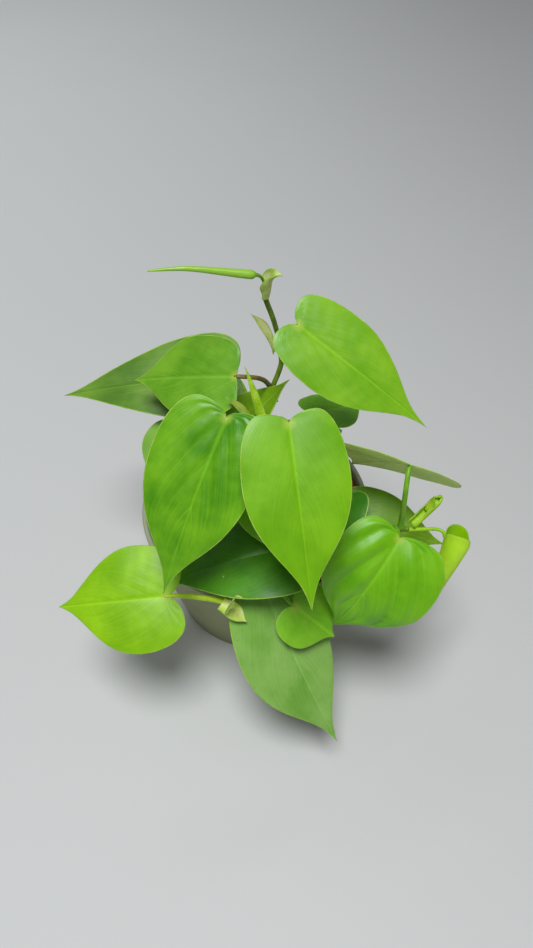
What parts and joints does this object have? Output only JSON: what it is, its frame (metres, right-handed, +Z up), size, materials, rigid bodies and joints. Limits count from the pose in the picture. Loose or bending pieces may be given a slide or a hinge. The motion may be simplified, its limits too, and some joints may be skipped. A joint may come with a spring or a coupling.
{
  "type": "potted heartleaf philodendron",
  "caption": "Leafy vine with heart-shaped leaves in a nursery pot inside a tapered cover pot, for standing on a table or shelf.",
  "frame": {"origin": "centre of the cover pot's foot, on the surface that it stands on", "axes": "+Z up along the pot's axis, -Y towards the side that the picture was taken from, +X to the right in the picture"},
  "size_m": [0.1862, 0.1712, 0.2282],
  "materials": {
    "cover_pot": "satin grey-green, smooth",
    "nursery_pot": "matt brick red",
    "soil": "damp dark potting soil with pale grains",
    "stem": "green with brown, matt",
    "leaf_bright": "bright yellow-green, waxy",
    "leaf_mid": "mid green, waxy",
    "leaf_dark": "dark green, waxy",
    "sheath": "pale yellow-green, thin"
  },
  "bodies": {
    "root": {"cover_pot": "cover_pot", "nursery_pot": "nursery_pot", "soil": "soil", "stem_tall": "stem", "stem_middle": "stem", "stem_right": "stem", "stem_front": "stem", "stem_left": "stem", "stem_back": "stem", "leaf_01": "leaf_bright", "leaf_02": "leaf_mid", "leaf_03": "leaf_bright", "leaf_04": "leaf_bright", "leaf_05": "leaf_mid", "leaf_06": "leaf_dark", "leaf_07": "leaf_mid", "leaf_08": "leaf_dark", "leaf_09": "leaf_dark", "leaf_10": "leaf_mid", "leaf_11": "leaf_dark", "leaf_12": "leaf_dark", "leaf_13": "leaf_dark", "leaf_14": "leaf_mid", "leaf_15": "leaf_mid", "leaf_16": "leaf_dark", "leaf_17": "leaf_bright", "leaf_18": "leaf_dark", "leaf_19": "leaf_dark", "leaf_20": "leaf_dark", "rolled_leaf": "leaf_bright", "spear_leaf": "leaf_bright", "sheath_1": "sheath", "sheath_2": "sheath", "sheath_3": "sheath", "sheath_4": "sheath", "sheath_5": "sheath", "sheath_6": "sheath"}
  },
  "joints": []
}
